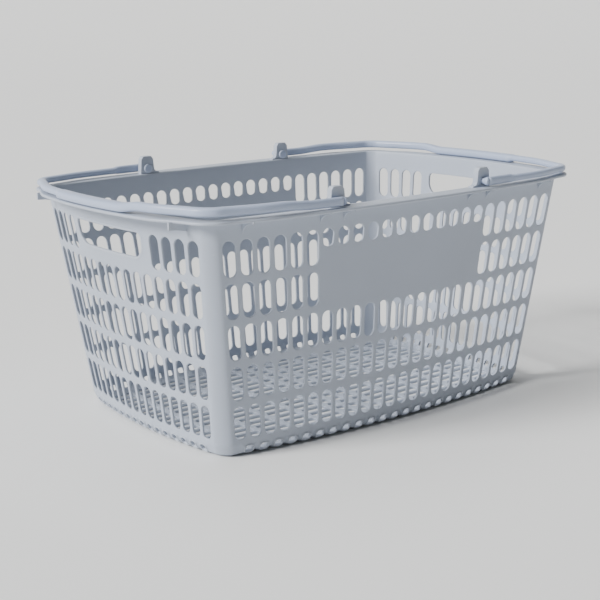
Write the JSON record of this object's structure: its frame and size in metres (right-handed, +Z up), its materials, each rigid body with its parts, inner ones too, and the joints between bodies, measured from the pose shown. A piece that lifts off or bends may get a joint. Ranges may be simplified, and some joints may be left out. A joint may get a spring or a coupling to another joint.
{
  "type": "hand basket",
  "caption": "Slotted plastic supermarket hand basket, tapered and bowed, with a wide rim and folding bail handles that lie on the rim and swing up to meet over the middle.",
  "frame": {"origin": "middle of the underside of the basket's floor, where it stands", "axes": "+X along the long side towards the right handle, +Y towards the back long wall, +Z up out of the mouth"},
  "size_m": [0.5528, 0.3886, 0.2646],
  "materials": {
    "basket_plastic": "satin moulded polypropylene",
    "handle_plastic": "satin moulded polypropylene"
  },
  "bodies": {
    "basket": {"basket_floor": "basket_plastic", "front_wall": "basket_plastic", "back_wall": "basket_plastic", "left_end_wall": "basket_plastic", "left_end_shoulder_1": "basket_plastic", "left_end_shoulder_2": "basket_plastic", "left_hand_hole_bar": "basket_plastic", "left_hand_hole_sill": "basket_plastic", "right_end_wall": "basket_plastic", "right_end_shoulder_1": "basket_plastic", "right_end_shoulder_2": "basket_plastic", "right_hand_hole_bar": "basket_plastic", "right_hand_hole_sill": "basket_plastic", "front_left_corner_post": "basket_plastic", "front_right_corner_post": "basket_plastic", "back_left_corner_post": "basket_plastic", "back_right_corner_post": "basket_plastic", "front_rim_middle": "basket_plastic", "front_rim_1": "basket_plastic", "front_rim_2": "basket_plastic", "back_rim_middle": "basket_plastic", "back_rim_1": "basket_plastic", "back_rim_2": "basket_plastic", "left_rim": "basket_plastic", "right_rim": "basket_plastic", "front_left_rim": "basket_plastic", "front_right_rim": "basket_plastic", "back_left_rim": "basket_plastic", "back_right_rim": "basket_plastic", "front_left_long_gusset": "basket_plastic", "front_left_short_gusset": "basket_plastic", "front_left_ear_rib_1": "basket_plastic", "front_left_ear_rib_2": "basket_plastic", "front_right_long_gusset": "basket_plastic", "front_right_short_gusset": "basket_plastic", "front_right_ear_rib_1": "basket_plastic", "front_right_ear_rib_2": "basket_plastic", "back_left_long_gusset": "basket_plastic", "back_left_short_gusset": "basket_plastic", "back_left_ear_rib_1": "basket_plastic", "back_left_ear_rib_2": "basket_plastic", "back_right_long_gusset": "basket_plastic", "back_right_short_gusset": "basket_plastic", "back_right_ear_rib_1": "basket_plastic", "back_right_ear_rib_2": "basket_plastic", "front_left_pivot_ear": "basket_plastic", "front_right_pivot_ear": "basket_plastic", "back_left_pivot_ear": "basket_plastic", "back_right_pivot_ear": "basket_plastic"},
    "left_handle": {"left_handle": "handle_plastic"},
    "right_handle": {"right_handle": "handle_plastic"}
  },
  "joints": [
    {"name": "left_handle_swing", "type": "hinge", "parent": "basket", "child": "left_handle", "pos_m": [-0.098, 0, 0.25], "axis": [0, 1, 0], "range_deg": [0, 120]},
    {"name": "right_handle_swing", "type": "hinge", "parent": "basket", "child": "right_handle", "pos_m": [0.098, 0, 0.25], "axis": [0, -1, 0], "range_deg": [0, 120]}
  ]
}
